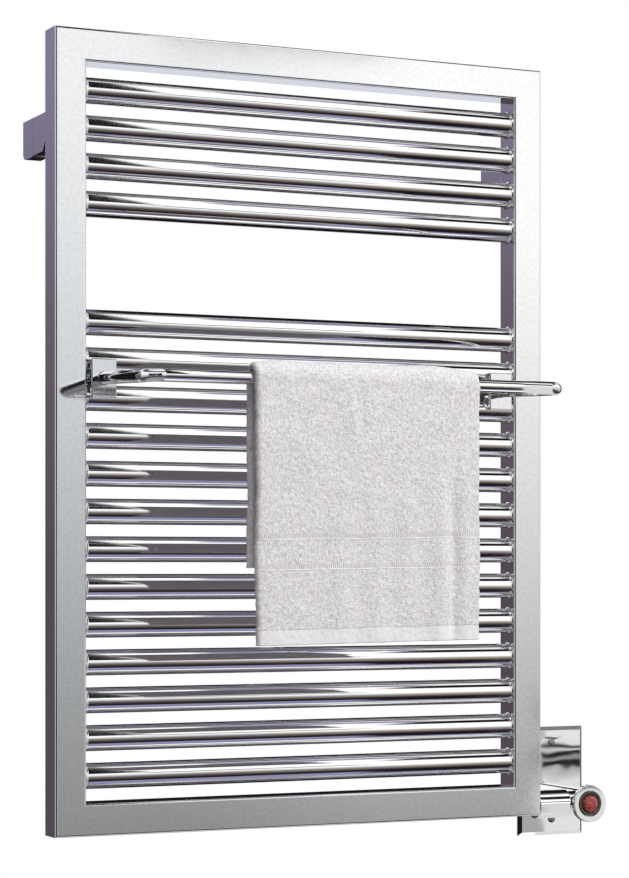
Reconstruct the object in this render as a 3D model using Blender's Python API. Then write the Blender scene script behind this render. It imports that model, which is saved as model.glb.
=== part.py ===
"""Electric towel warmer rack: a chromed frame of square tube with seventeen heated round tubes,
a stand-off towel bar with a folded towel on it, wall brackets and a hard-wired switch unit.

The origin is on the wall plane, midway between the two upper wall brackets. Seen from the
room, +X is to the right and +Z is up, and the room is on the -Y side of the wall plane Y = 0.
Run with: blender --background --python part.py
"""

import math

import bmesh
import bpy
from mathutils import Vector

MM = 0.001
GAP = 0.3 * MM  # clearance kept between pieces that touch

# Frame of 1 1/4 in square tube
FRAME_WIDTH = 536 * MM
FRAME_HEIGHT = 780 * MM
SECTION = 31.75 * MM
SECTION_WALL = 1.5 * MM
SECTION_RADIUS = 2 * MM
FRAME_FRONT = -100 * MM
CENTRE_Y = FRAME_FRONT + SECTION / 2
FRAME_REAR = FRAME_FRONT + SECTION

# Heated tubes of 1 in round tube
TUBE_RADIUS = 12.7 * MM
TUBE_WALL = 1.2 * MM
TUBE_REACH = 1 * MM  # how far a tube end stands inside the upright's cavity
TUBE_PITCH = 36.7 * MM
LOWEST_TUBE = 57.3 * MM
LOWER_TUBES = 13
UPPER_TUBES = 4
TOWEL_GAP = 114.9 * MM  # centre distance across the wide gap

# Upper wall brackets
BRACKET_WIDTH = 16 * MM
BRACKET_TALL = 38 * MM
BRACKET_SPLIT = 29 * MM  # off the wall, where the post meets the wall base
BRACKET_INSET = 1 * MM  # from the frame's outer side
BRACKET_HEIGHT = 683 * MM  # above the frame's bottom edge
SPIGOT_RADIUS = 4.6 * MM

# Lower wall bracket, clamped round two tubes behind the towel
LOWER_BRACKET_TUBES = (12, 13)
LOWER_BRACKET_WIDTH = 20 * MM
LOWER_BRACKET_TALL = 50 * MM

# Towel bar of 1/2 in rod and its two clamps
BAR_RADIUS = 6.35 * MM
BAR_HALF_SPAN = 219 * MM
BAR_FRONT = -224 * MM
BAR_BEND = 15 * MM
BAR_LEVEL_START = 6 * MM  # of each leg, in front of the frame
BAR_DROOP = 4.7 * MM  # of the straight part below the legs' seats
BAR_TUBES = (6, 7)
CLAMP_WIDTH = 26 * MM
CLAMP_TALL = 38.5 * MM
CLAMP_THICK = 5 * MM
BACK_THICK = 6 * MM

# Towel, folded once along its length and hung over the bar
TOWEL_LEFT = -113.5 * MM
TOWEL_RIGHT = 119 * MM
TOWEL_THICK = 10 * MM
TOWEL_FRONT_BOTTOM = 189 * MM
TOWEL_BACK_BOTTOM = 257 * MM

# Switch unit
UNIT_X = 325.5 * MM
UNIT_HEIGHT = 10.5 * MM  # of its axis above the frame's bottom edge
TEE_RADIUS = 15 * MM
TEE_BORE = 12.8 * MM
TEE_FRONT = 98 * MM
BRANCH_RADIUS = 13.2 * MM
BRANCH_BORE = 10.3 * MM
CONNECTOR_RADIUS = 12.7 * MM
CONNECTOR_BORE = 10.5 * MM
SLEEVE_WALL = 2 * MM
BRANCH_END = 305.3 * MM
PLATE_WIDTH = 81 * MM
PLATE_TALL = 118 * MM
PLATE_X = 335 * MM
PLATE_HEIGHT = 27 * MM
PLATE_BEVEL = 4 * MM
PLATE_FACE = 6.5 * MM
PLATE_SHEET = 1.2 * MM
PLATE_RIM = 1.5 * MM
PLATE_SCREW_SPACING = 83.3 * MM
ELEMENT_RADIUS = 5 * MM
ELEMENT_END = -90 * MM
ELEMENT_HEAD = 279 * MM
BUTTON_RADIUS = 8.5 * MM

ROUND_SIDES = 20
SMALL_SIDES = 12
FACE_FRONT = (math.radians(90), 0, 0)  # local +Z points at the room
FACE_RIGHT = (0, math.radians(90), 0)  # local +Z points along +X
FACE_LEFT = (0, math.radians(-90), 0)
UPSIDE_DOWN = (0, math.radians(180), 0)


def clear_scene():
    for thing in list(bpy.data.objects):
        bpy.data.objects.remove(thing, do_unlink=True)


def finish(name, colour, roughness, metallic):
    material = bpy.data.materials.new(name)
    material.use_nodes = True
    shader = material.node_tree.nodes["Principled BSDF"]
    shader.inputs["Base Color"].default_value = (*colour, 1)
    shader.inputs["Roughness"].default_value = roughness
    shader.inputs["Metallic"].default_value = metallic
    return material


def up(height):
    """World Z of a height above the frame's bottom edge."""
    return height - BRACKET_HEIGHT


# Meshes ---------------------------------------------------------------------------------------


def mesh_from(name, shape):
    """Turns a bmesh into a mesh with its faces pointing out and its round faces smooth."""
    bmesh.ops.recalc_face_normals(shape, faces=shape.faces)
    mesh = bpy.data.meshes.new(name)
    shape.to_mesh(mesh)
    shape.free()
    mesh.shade_smooth()
    mesh.set_sharp_from_angle(angle=math.radians(32))
    return mesh


def join_rings(shape, first, second):
    """Faces between two rings of points, either of which may be one point on the axis."""
    count = max(len(first), len(second))
    for this in range(count):
        following = (this + 1) % count
        corners = [
            first[this % len(first)],
            first[following % len(first)],
            second[following % len(second)],
            second[this % len(second)],
        ]
        shape.faces.new(list(dict.fromkeys(corners)))


def circle(radius, sides):
    """(across, along) points round a circle."""
    return [
        (radius * math.cos(2 * math.pi * i / sides), radius * math.sin(2 * math.pi * i / sides))
        for i in range(sides)
    ]


def turned(name, profile, sides=ROUND_SIDES):
    """A solid turned about local Z from (radius, height) pairs.

    A profile that keeps off the axis is a closed loop, and any other starts and ends on the axis.
    """
    shape = bmesh.new()
    rings = []
    for radius, height in profile:
        points = circle(radius, sides) if radius else [(0, 0)]
        rings.append([shape.verts.new((x, y, height)) for x, y in points])
    for first, second in zip(rings, rings[1:]):
        join_rings(shape, first, second)
    if profile[0][0]:
        join_rings(shape, rings[-1], rings[0])
    return mesh_from(name, shape)


def rod(name, radius, start, end, sides=ROUND_SIDES):
    return turned(name, [(0, start), (radius, start), (radius, end), (0, end)], sides)


def pipe(name, outer, bore, start, end, sides=ROUND_SIDES):
    return turned(name, [(outer, start), (outer, end), (bore, end), (bore, start)], sides)


def extruded(name, outline, start, end):
    """A flat outline in local X and Y, extruded along local Z."""
    shape = bmesh.new()
    rings = [[shape.verts.new((x, y, height)) for x, y in outline] for height in (start, end)]
    join_rings(shape, *rings)
    for ring in rings:
        shape.faces.new(ring)
    return mesh_from(name, shape)


def box(name, low, high):
    outline = [(low[0], low[1]), (high[0], low[1]), (high[0], high[1]), (low[0], high[1])]
    return extruded(name, outline, low[2], high[2])


def swept(name, path, radius, sides, level=Vector((0, 0, 1))):
    """A round rod along a path of points, with flat ends. level is a direction across the path."""
    shape = bmesh.new()
    rings = []
    for i, point in enumerate(path):
        before = path[max(i - 1, 0)]
        after = path[min(i + 1, len(path) - 1)]
        forward = (after - before).normalized()
        side = forward.cross(level).normalized()
        top = side.cross(forward)
        ring = [point + side * a + top * b for a, b in circle(radius, sides)]
        rings.append([shape.verts.new(corner) for corner in ring])
    for first, second in zip(rings, rings[1:]):
        join_rings(shape, first, second)
    shape.faces.new(rings[0])
    shape.faces.new(rings[-1])
    return mesh_from(name, shape)


def arc(centre, radius, start, end, steps):
    """Points of an arc in a plane, with its angles in degrees."""
    angles = [math.radians(start + (end - start) * i / steps) for i in range(steps + 1)]
    return [(centre[0] + radius * math.cos(a), centre[1] + radius * math.sin(a)) for a in angles]


def section_outline(half, radius):
    """The rounded square of the frame tube's section, as (across, outwards) points."""
    inner = half - radius
    centres = [(inner, inner), (-inner, inner), (-inner, -inner), (inner, -inner)]
    outline = []
    for corner, centre in enumerate(centres):
        outline += arc(centre, radius, corner * 90, corner * 90 + 90, 3)
    return outline


def mitred_tube(name, length):
    """Hollow square tube along local X with its longer side on local +Z, mitred at both ends."""
    half = SECTION / 2
    outer = section_outline(half, SECTION_RADIUS)
    inner = section_outline(half - SECTION_WALL, SECTION_RADIUS - SECTION_WALL)
    shape = bmesh.new()
    rings = []
    for outline, side in ((outer, -1), (outer, 1), (inner, 1), (inner, -1)):
        ring = []
        for across, outwards in outline:
            end = length / 2 - (half - outwards) - GAP / 2
            ring.append(shape.verts.new((side * end, across, outwards)))
        rings.append(ring)
    for first, second in zip(rings, rings[1:] + rings[:1]):
        join_rings(shape, first, second)
    return mesh_from(name, shape)


# Objects --------------------------------------------------------------------------------------


def add(mesh, material=None, location=(0, 0, 0), rotation=(0, 0, 0), parent=None):
    thing = bpy.data.objects.new(mesh.name, mesh)
    bpy.context.scene.collection.objects.link(thing)
    thing.location = location
    thing.rotation_euler = rotation
    thing.parent = parent
    if material and not mesh.materials:
        mesh.materials.append(material)
    return thing


def copy_of(source, name, location, rotation=(0, 0, 0)):
    """Another object with the same mesh."""
    thing = bpy.data.objects.new(name, source.data)
    bpy.context.scene.collection.objects.link(thing)
    thing.location = location
    thing.rotation_euler = rotation
    return thing


def combine(target, tool, operation):
    """A Boolean of two objects, which leaves the second one as a hidden helper."""
    modifier = target.modifiers.new(operation.lower(), "BOOLEAN")
    modifier.operation = operation
    modifier.solver = "EXACT"
    modifier.object = tool
    tool.hide_render = True
    tool.display_type = "WIRE"


def cut(target, mesh, location=(0, 0, 0), rotation=(0, 0, 0)):
    combine(target, add(mesh, location=location, rotation=rotation), "DIFFERENCE")


def soften(target, width):
    """Small flats along a block's sharp edges."""
    bevel = target.modifiers.new("edges", "BEVEL")
    bevel.width = width
    bevel.segments = 1
    bevel.limit_method = "ANGLE"
    bevel.angle_limit = math.radians(40)


def screw(name, material, head, head_thick, shank, length, location, rotation, slot=0):
    """A flat-headed screw whose head's top is at local Z = 0, pointing along local -Z."""
    profile = [
        (0, 0),
        (head, 0),
        (head, -0.3 * head_thick),
        (shank, -head_thick),
        (shank, 1.5 * shank - length),
        (0.4 * shank, -length),
        (0, -length),
    ]
    thing = add(turned(name, profile, SMALL_SIDES), material, location, rotation)
    if slot:
        half = 0.5 * slot
        groove = box(name + "_slot", (-1.2 * head, -half, -1.2 * slot), (1.2 * head, half, slot))
        cut(thing, groove, location, rotation)
    return thing


def grub_screw(name, material, radius, length, socket, location, rotation):
    """A headless screw from local Z = 0 downwards, with a round-bottomed socket in its top."""
    depth = 1.6 * socket
    profile = [
        (0, -depth),
        (socket, -depth),
        (socket, 0),
        (radius, 0),
        (radius, -length + 0.4 * radius),
        (0.6 * radius, -length),
        (0, -length),
    ]
    return add(turned(name, profile, SMALL_SIDES), material, location, rotation)


# The rack -------------------------------------------------------------------------------------


def tube_heights():
    """Heights of the tubes above the frame's bottom edge, from the top tube down."""
    lower = [LOWEST_TUBE + TUBE_PITCH * i for i in range(LOWER_TUBES)]
    upper = [lower[-1] + TOWEL_GAP + TUBE_PITCH * i for i in range(UPPER_TUBES)]
    return list(reversed(lower + upper))


def midway(numbers):
    """The height midway between two tubes, given by their numbers from the top."""
    heights = tube_heights()
    return sum(heights[number - 1] for number in numbers) / len(numbers)


def make_frame(chrome):
    half = SECTION / 2
    middle = up(FRAME_HEIGHT / 2)
    side = FRAME_WIDTH / 2 - half
    left = add(mitred_tube("upright_left", FRAME_HEIGHT), chrome, (-side, CENTRE_Y, middle), FACE_LEFT)
    right = add(mitred_tube("upright_right", FRAME_HEIGHT), chrome, (side, CENTRE_Y, middle), FACE_RIGHT)
    top_place = (0, CENTRE_Y, up(FRAME_HEIGHT - half))
    top = add(mitred_tube("rail_top", FRAME_WIDTH), chrome, top_place)
    bottom_place = (0, CENTRE_Y, up(half))
    add(mitred_tube("rail_bottom", FRAME_WIDTH), chrome, bottom_place, UPSIDE_DOWN)

    inner_face = FRAME_WIDTH / 2 - SECTION
    reach = inner_face + 2 * SECTION_WALL
    for number, height in enumerate(tube_heights(), 1):
        mesh = rod(f"tube_hole_{number:02d}", TUBE_RADIUS + GAP, -reach, reach)
        hole = add(mesh, location=(0, CENTRE_Y, up(height)), rotation=FACE_RIGHT)
        combine(left, hole, "DIFFERENCE")
        combine(right, hole, "DIFFERENCE")
    outer_face = FRAME_WIDTH / 2
    fitting_hole = rod("fitting_hole", 8.63 * MM, outer_face - 2 * SECTION_WALL, outer_face + MM)
    cut(right, fitting_hole, (0, CENTRE_Y, up(UNIT_HEIGHT)), FACE_RIGHT)
    return top


def make_filler_plug(rail, brass):
    """The plug that closes the filling hole in the back of the top rail."""
    place = (0.16, FRAME_REAR, up(FRAME_HEIGHT - SECTION / 2))
    cut(rail, rod("filler_hole", 5 * MM, -MM, 2 * SECTION_WALL), place, FACE_FRONT)
    profile = [
        (0, -0.8 * MM),
        (2.5 * MM, -0.8 * MM),
        (3 * MM, -3 * MM),
        (7 * MM, -3 * MM),
        (7.5 * MM, -2.5 * MM),
        (7.5 * MM, -GAP),
        (4.7 * MM, -GAP),
        (4.7 * MM, 4 * MM),
        (0, 4 * MM),
    ]
    add(turned("filler_plug", profile), brass, place, FACE_FRONT)


def make_tubes(chrome):
    end = FRAME_WIDTH / 2 - SECTION + SECTION_WALL + TUBE_REACH
    source = None
    for number, height in enumerate(tube_heights(), 1):
        name = f"tube_{number:02d}"
        place = (0, CENTRE_Y, up(height))
        if source:
            copy_of(source, name, place, FACE_RIGHT)
        else:
            mesh = pipe(name, TUBE_RADIUS, TUBE_RADIUS - TUBE_WALL, -end, end)
            source = add(mesh, chrome, place, FACE_RIGHT)


def make_upper_bracket(name, side, chrome, steel):
    """Wall base, post, wall screw and locking grub screw. side is -1 on the left and 1 on the right."""
    x = side * (FRAME_WIDTH / 2 - BRACKET_INSET - BRACKET_WIDTH / 2)
    half = BRACKET_WIDTH / 2
    low, high = -BRACKET_TALL / 2, BRACKET_TALL / 2
    rear_of_frame = -FRAME_REAR - GAP
    rounding = 7 * MM
    base_outline = [(BRACKET_SPLIT, low), (BRACKET_SPLIT, high), (0, high)]
    base_outline += arc((rounding, low + rounding), rounding, 180, 270, 5)
    post_outline = [
        (BRACKET_SPLIT + GAP, low + MM),
        (BRACKET_SPLIT + GAP, high),
        (rear_of_frame, high),
        (rear_of_frame, low + 12 * MM),
        (rear_of_frame - 9 * MM, low + MM),
    ]
    # Outlines are drawn as (distance from the wall, height), so local X points at the room.
    sideways = (math.radians(90), 0, math.radians(-90))
    base = add(extruded(name + "_wall_base", base_outline, -half, half), chrome, (x, 0, 0), sideways)
    post = add(extruded(name + "_post", post_outline, -half, half), chrome, (x, 0, 0), sideways)

    pocket_floor = 10 * MM
    pocket = rod(name + "_pocket", SPIGOT_RADIUS + 0.4 * MM, pocket_floor, BRACKET_SPLIT + MM)
    cut(base, pocket, (x, 0, 0), FACE_FRONT)
    cut(base, rod(name + "_screw_hole", 2.8 * MM, -MM, pocket_floor + MM, SMALL_SIDES), (x, 0, 0), FACE_FRONT)
    grub_y = -22 * MM
    grub_hole = rod(name + "_grub_hole", 2.3 * MM, low - MM, 0, SMALL_SIDES)
    cut(base, grub_hole, (x, grub_y, 0))
    spigot = rod(name + "_spigot", SPIGOT_RADIUS, 15 * MM, BRACKET_SPLIT + 2 * MM)
    combine(post, add(spigot, location=(x, 0, 0), rotation=FACE_FRONT), "UNION")

    head_top = pocket_floor + 3.5 * MM
    place = (x, -head_top, 0)
    screw(name + "_wall_screw", steel, 4.4 * MM, 3 * MM, 2.4 * MM, head_top - GAP, place, FACE_FRONT, MM)
    length = -low - SPIGOT_RADIUS - GAP - MM
    grub = name + "_grub_screw"
    grub_screw(grub, steel, 2 * MM, length, 1.2 * MM, (x, grub_y, low + MM), UPSIDE_DOWN)


def make_lower_bracket(chrome, steel):
    """Base on the wall, clamp plate in front of two tubes, the screw between them and a wall screw."""
    height = midway(LOWER_BRACKET_TUBES)
    half_tall = LOWER_BRACKET_TALL / 2
    half_wide = LOWER_BRACKET_WIDTH / 2
    place = (0, 0, up(height))
    tube_rear = -(CENTRE_Y + TUBE_RADIUS) - GAP
    tube_front = -(CENTRE_Y - TUBE_RADIUS) + GAP
    flange, head, stem = 4 * MM, 12 * MM, 9 * MM
    outline = [
        (0, -half_tall - 14 * MM),
        (flange, -half_tall - 14 * MM),
        (flange, -stem),
        (tube_rear - head, -stem),
        (tube_rear - head, -half_tall),
        (tube_rear, -half_tall),
        (tube_rear, half_tall),
        (tube_rear - head, half_tall),
        (tube_rear - head, stem),
        (flange, stem),
        (flange, half_tall),
        (0, half_tall),
    ]
    sideways = (math.radians(90), 0, math.radians(-90))
    base = add(extruded("lower_bracket_base", outline, -half_wide, half_wide), chrome, place, sideways)
    screw_end = 50 * MM
    screw_hole = rod("lower_screw_hole", 2.6 * MM, screw_end - MM, tube_rear + MM, SMALL_SIDES)
    cut(base, screw_hole, place, FACE_FRONT)
    wall_screw_place = (0, 0, up(height) - half_tall - 5 * MM)
    wall_hole = rod("lower_wall_hole", 2.6 * MM, -MM, flange + MM, SMALL_SIDES)
    cut(base, wall_hole, wall_screw_place, FACE_FRONT)

    low = (-half_wide, -half_tall, tube_front)
    high = (half_wide, half_tall, tube_front + BACK_THICK)
    clamp = add(box("lower_bracket_clamp", low, high), chrome, place, FACE_FRONT)
    soften(clamp, MM)
    clamp_hole = rod("lower_clamp_hole", 2.6 * MM, tube_front - MM, tube_front + 2 * BACK_THICK, SMALL_SIDES)
    cut(clamp, clamp_hole, place, FACE_FRONT)
    front = tube_front + BACK_THICK + GAP
    head_thick = 2.4 * MM
    tip = front + head_thick - screw_end - GAP
    name = "lower_bracket_screw"
    pan_place = (0, -(front + head_thick), up(height))
    pan_screw(name, steel, 4.5 * MM, head_thick, 2.2 * MM, tip, pan_place)
    wall_head = (0, -(flange + GAP + head_thick), wall_screw_place[2])
    length = flange + head_thick
    pan_screw("lower_bracket_wall_screw", steel, 4.5 * MM, head_thick, 2.2 * MM, length, wall_head)


def pan_screw(name, material, head, head_thick, shank, length, location):
    """A slotted round-headed screw that points at the wall. length is measured from the head's top."""
    profile = [
        (0, 0),
        (0.55 * head, 0),
        (0.9 * head, -0.3 * head_thick),
        (head, -0.7 * head_thick),
        (head, -head_thick),
        (shank, -head_thick),
        (shank, -length),
        (0, -length),
    ]
    thing = add(turned(name, profile, SMALL_SIDES), material, location, FACE_FRONT)
    groove = box(name + "_slot", (-2 * head, -0.5 * MM, -0.5 * head_thick), (2 * head, 0.5 * MM, head_thick))
    cut(thing, groove, location, FACE_FRONT)
    return thing


def make_towel_bar(chrome):
    height = up(midway(BAR_TUBES))
    bend_x = BAR_HALF_SPAN - BAR_BEND
    bend_y = BAR_FRONT + BAR_BEND
    seat = FRAME_FRONT - 0.4 * MM
    left = arc((-bend_x, bend_y), BAR_BEND, 180, 270, 7)
    right = arc((bend_x, bend_y), BAR_BEND, 270, 360, 7)
    level_end = FRAME_FRONT - BAR_LEVEL_START
    start = [Vector((-BAR_HALF_SPAN, y, height)) for y in (seat, level_end)]
    end = [Vector((BAR_HALF_SPAN, y, height)) for y in (level_end, seat)]
    path = start + [Vector((x, y, height - BAR_DROOP)) for x, y in left + right] + end
    bar = add(swept("towel_bar", path, BAR_RADIUS, 16), chrome)
    for side, end in ((-1, "left"), (1, "right")):
        tapped = rod(f"bar_thread_{end}", 2.5 * MM, -seat - MM, -seat + 10 * MM, SMALL_SIDES)
        cut(bar, tapped, (side * BAR_HALF_SPAN, 0, height), FACE_FRONT)


def make_bar_clamp(name, side, chrome, steel):
    """Front block that takes the bar's end, back block behind two tubes, and the screw through both."""
    place = (side * BAR_HALF_SPAN, 0, up(midway(BAR_TUBES)))
    wide, tall = CLAMP_WIDTH / 2, CLAMP_TALL / 2
    tube_front = -(CENTRE_Y - TUBE_RADIUS) + GAP
    tube_rear = -(CENTRE_Y + TUBE_RADIUS) - GAP
    front_face = tube_front + CLAMP_THICK
    seat = -FRAME_FRONT + 0.4 * MM - GAP

    front_mesh = box(name + "_front", (-wide, -tall, tube_front), (wide, tall, front_face))
    front = add(front_mesh, chrome, place, FACE_FRONT)
    soften(front, 0.8 * MM)
    cut(front, rod(name + "_seat", BAR_RADIUS + GAP, seat, front_face + MM, 16), place, FACE_FRONT)
    front_hole = rod(name + "_front_hole", 2.6 * MM, tube_front - MM, seat + MM, SMALL_SIDES)
    cut(front, front_hole, place, FACE_FRONT)

    rear_face = tube_rear - BACK_THICK
    back = add(box(name + "_back", (-wide, -tall, rear_face), (wide, tall, tube_rear)), chrome, place, FACE_FRONT)
    soften(back, 0.8 * MM)
    cut(back, rod(name + "_back_hole", 2.6 * MM, rear_face - MM, tube_rear + MM, SMALL_SIDES), place, FACE_FRONT)
    countersink = 3.4 * MM
    head_space = rod(name + "_head_space", 4.9 * MM, rear_face - MM, rear_face + countersink)
    cut(back, head_space, place, FACE_FRONT)

    head_top = rear_face + 0.2 * MM
    screw_place = (place[0], -head_top, place[2])
    pointing_forward = (math.radians(-90), 0, 0)
    length = 108.5 * MM - head_top
    screw(name + "_screw", steel, 4.5 * MM, 2.8 * MM, 2.2 * MM, length, screw_place, pointing_forward, MM)


def make_towel(terry):
    """The folded towel as one plain solid: an upside-down U over the bar, drawn across the wall."""
    height = midway(BAR_TUBES) - BAR_DROOP
    distance = -BAR_FRONT
    inside = BAR_RADIUS + 0.4 * MM
    outside = inside + TOWEL_THICK
    front_low, back_low = TOWEL_FRONT_BOTTOM - height, TOWEL_BACK_BOTTOM - height
    outline = [(distance + outside, front_low), *arc((distance, 0), outside, 0, 180, 12)]
    outline += [(distance - outside, back_low), (distance - inside, back_low)]
    outline += [*arc((distance, 0), inside, 180, 0, 10), (distance + inside, front_low)]
    sideways = (math.radians(90), 0, math.radians(-90))
    mesh = extruded("towel", outline, -TOWEL_RIGHT, -TOWEL_LEFT)
    add(mesh, terry, (0, 0, up(height)), sideways)


# The switch unit ------------------------------------------------------------------------------


def make_element(steel, brass, plastic, silicone):
    """The heating element in the bottom rail, with its fitting, cut-out and lead."""
    place = (0, CENTRE_Y, up(UNIT_HEIGHT))
    rounded = arc((ELEMENT_END + ELEMENT_RADIUS, 0), ELEMENT_RADIUS, 180, 90, 4)
    profile = [(across if across > 1e-6 else 0, along) for along, across in rounded]
    profile += [(ELEMENT_RADIUS, ELEMENT_HEAD), (0, ELEMENT_HEAD)]
    add(turned("heating_element", profile, 16), steel, place, FACE_RIGHT)

    outer_face = FRAME_WIDTH / 2
    hexagon_start = outer_face + GAP + 0.4 * MM
    fitting_mesh = rod("element_fitting", 9.8 * MM, hexagon_start, hexagon_start + 7 * MM, 6)
    fitting = add(fitting_mesh, brass, place, FACE_RIGHT)
    thread = rod("fitting_thread", 8.33 * MM, outer_face - 10 * MM, hexagon_start + MM)
    combine(fitting, add(thread, location=place, rotation=FACE_RIGHT), "UNION")
    bore = rod("fitting_bore", ELEMENT_RADIUS + GAP, outer_face - 12 * MM, outer_face + 12 * MM, 16)
    cut(fitting, bore, place, FACE_RIGHT)

    half_wide = 3.75 * MM
    floor = -math.sqrt(TEE_BORE**2 - half_wide**2) + 0.6 * MM
    cutout_low = (-half_wide, floor, 40 * MM)
    cutout_high = (half_wide, floor + 3.5 * MM, 60 * MM)
    cutout = box("thermal_cutout", cutout_low, cutout_high)
    add(cutout, plastic, (UNIT_X, 0, up(UNIT_HEIGHT)), FACE_FRONT)

    route = [(0, 85.9), (0, 83.4), (-1.3, 81), (-3.6, 79.6), (-7, 79.2), (-12, 80.1)]
    route += [(-18, 81.9), (-24, 83.4), (-31, 84.1), (-40, 84.125)]
    path = [Vector((UNIT_X + x * MM, -y * MM, up(UNIT_HEIGHT))) for x, y in route]
    path.append(Vector((ELEMENT_HEAD + GAP, CENTRE_Y, up(UNIT_HEIGHT))))
    add(swept("element_lead", path, MM, 8), silicone)


def make_connecting_tube(chrome):
    """The tube from the rack to the barrel's branch, and the plain sleeve that covers it."""
    place = (0, CENTRE_Y, up(UNIT_HEIGHT))
    start = FRAME_WIDTH / 2 + GAP
    tube = pipe("connecting_tube", CONNECTOR_RADIUS, CONNECTOR_BORE, start, BRANCH_END - 0.5 * MM)
    add(tube, chrome, place, FACE_RIGHT)
    bore = CONNECTOR_RADIUS + GAP
    outer = bore + SLEEVE_WALL
    end = BRANCH_END - GAP
    edge = 0.6 * MM
    profile = [
        (bore, start),
        (outer - edge, start),
        (outer, start + edge),
        (outer, end - edge),
        (outer - edge, end),
        (bore, end),
    ]
    add(turned("cover_sleeve", profile, 28), chrome, place, FACE_RIGHT)


def make_tee(chrome, steel):
    """The barrel that runs from the wall plate to the switch, with a side branch to the rack."""
    place = (UNIT_X, 0, up(UNIT_HEIGHT))
    branch_place = (0, CENTRE_Y, place[2])
    tee = add(rod("tee_body", TEE_RADIUS, 2 * MM, TEE_FRONT, 28), chrome, place, FACE_FRONT)
    branch = add(rod("tee_branch", BRANCH_RADIUS, BRANCH_END, UNIT_X - 2 * MM, 24), None, branch_place, FACE_RIGHT)
    combine(tee, branch, "UNION")
    cut(tee, rod("tee_bore", TEE_BORE, 0, TEE_FRONT + MM, 24), place, FACE_FRONT)
    cut(tee, rod("branch_bore", BRANCH_BORE, BRANCH_END - MM, UNIT_X - MM), branch_place, FACE_RIGHT)

    lean = math.radians(-140)  # the set screw is low on the side that faces the rack
    screw_y = -95.6 * MM
    outwards = Vector((math.sin(lean), 0, math.cos(lean)))
    centre = Vector((UNIT_X, screw_y, up(UNIT_HEIGHT)))
    pointing_out = (0, lean, 0)
    hole = rod("set_screw_hole", 1.6 * MM, 10 * MM, 16 * MM, SMALL_SIDES)
    cut(tee, hole, centre, pointing_out)
    tip = centre + outwards * (TEE_RADIUS + 0.2 * MM)
    grub_screw("tee_set_screw", steel, 1.3 * MM, 2.4 * MM, 0.7 * MM, tip, pointing_out)


def make_wall_plate(chrome, steel, foam):
    place = (PLATE_X, 0, up(PLATE_HEIGHT))
    axis = (UNIT_X, 0, up(UNIT_HEIGHT))
    shape = bmesh.new()
    inset = PLATE_BEVEL + 0.6 * PLATE_SHEET
    steps = [
        (0, PLATE_RIM),
        (0, PLATE_RIM + MM),
        (PLATE_BEVEL, PLATE_FACE),
        (inset, PLATE_FACE - PLATE_SHEET),
        (PLATE_SHEET, PLATE_RIM + 0.6 * MM),
        (PLATE_SHEET, PLATE_RIM),
    ]
    rings = []
    for edge, height in steps:
        x, y = PLATE_WIDTH / 2 - edge, PLATE_TALL / 2 - edge
        corners = [(-x, -y), (x, -y), (x, y), (-x, y)]
        rings.append([shape.verts.new((*corner, height)) for corner in corners])
    for i in (0, 1, 3, 4):
        join_rings(shape, rings[i], rings[i + 1])
    join_rings(shape, rings[-1], rings[0])
    shape.faces.new(rings[2])
    shape.faces.new(rings[3])
    plate = add(mesh_from("wall_plate", shape), chrome, place, FACE_FRONT)
    cut(plate, rod("tee_hole", TEE_RADIUS + GAP, 0, PLATE_FACE + MM, 28), axis, FACE_FRONT)

    gasket_wide, gasket_tall = PLATE_WIDTH / 2 - MM, PLATE_TALL / 2 - MM
    gasket_low = (-gasket_wide, -gasket_tall, 0)
    gasket_high = (gasket_wide, gasket_tall, PLATE_RIM - GAP)
    gasket = add(box("plate_gasket", gasket_low, gasket_high), foam, place, FACE_FRONT)
    cut(gasket, box("box_opening", (-25 * MM, -35 * MM, -MM), (25 * MM, 35 * MM, 3 * MM)), place, FACE_FRONT)

    for side, end in ((1, "upper"), (-1, "lower")):
        name = f"plate_screw_{end}"
        height = place[2] + side * PLATE_SCREW_SPACING / 2
        spot = (PLATE_X, 0, height)
        cut(plate, rod(name + "_hole", 2.2 * MM, 0, PLATE_FACE + MM, SMALL_SIDES), spot, FACE_FRONT)
        cut(gasket, rod(name + "_gasket_hole", 2.2 * MM, -MM, 3 * MM, SMALL_SIDES), spot, FACE_FRONT)
        head_thick = 1.6 * MM
        head_top = (PLATE_X, -(PLATE_FACE + GAP + head_thick), height)
        length = PLATE_FACE + head_thick
        pan_screw(name, steel, 3.9 * MM, head_thick, 1.75 * MM, length, head_top)


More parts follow.
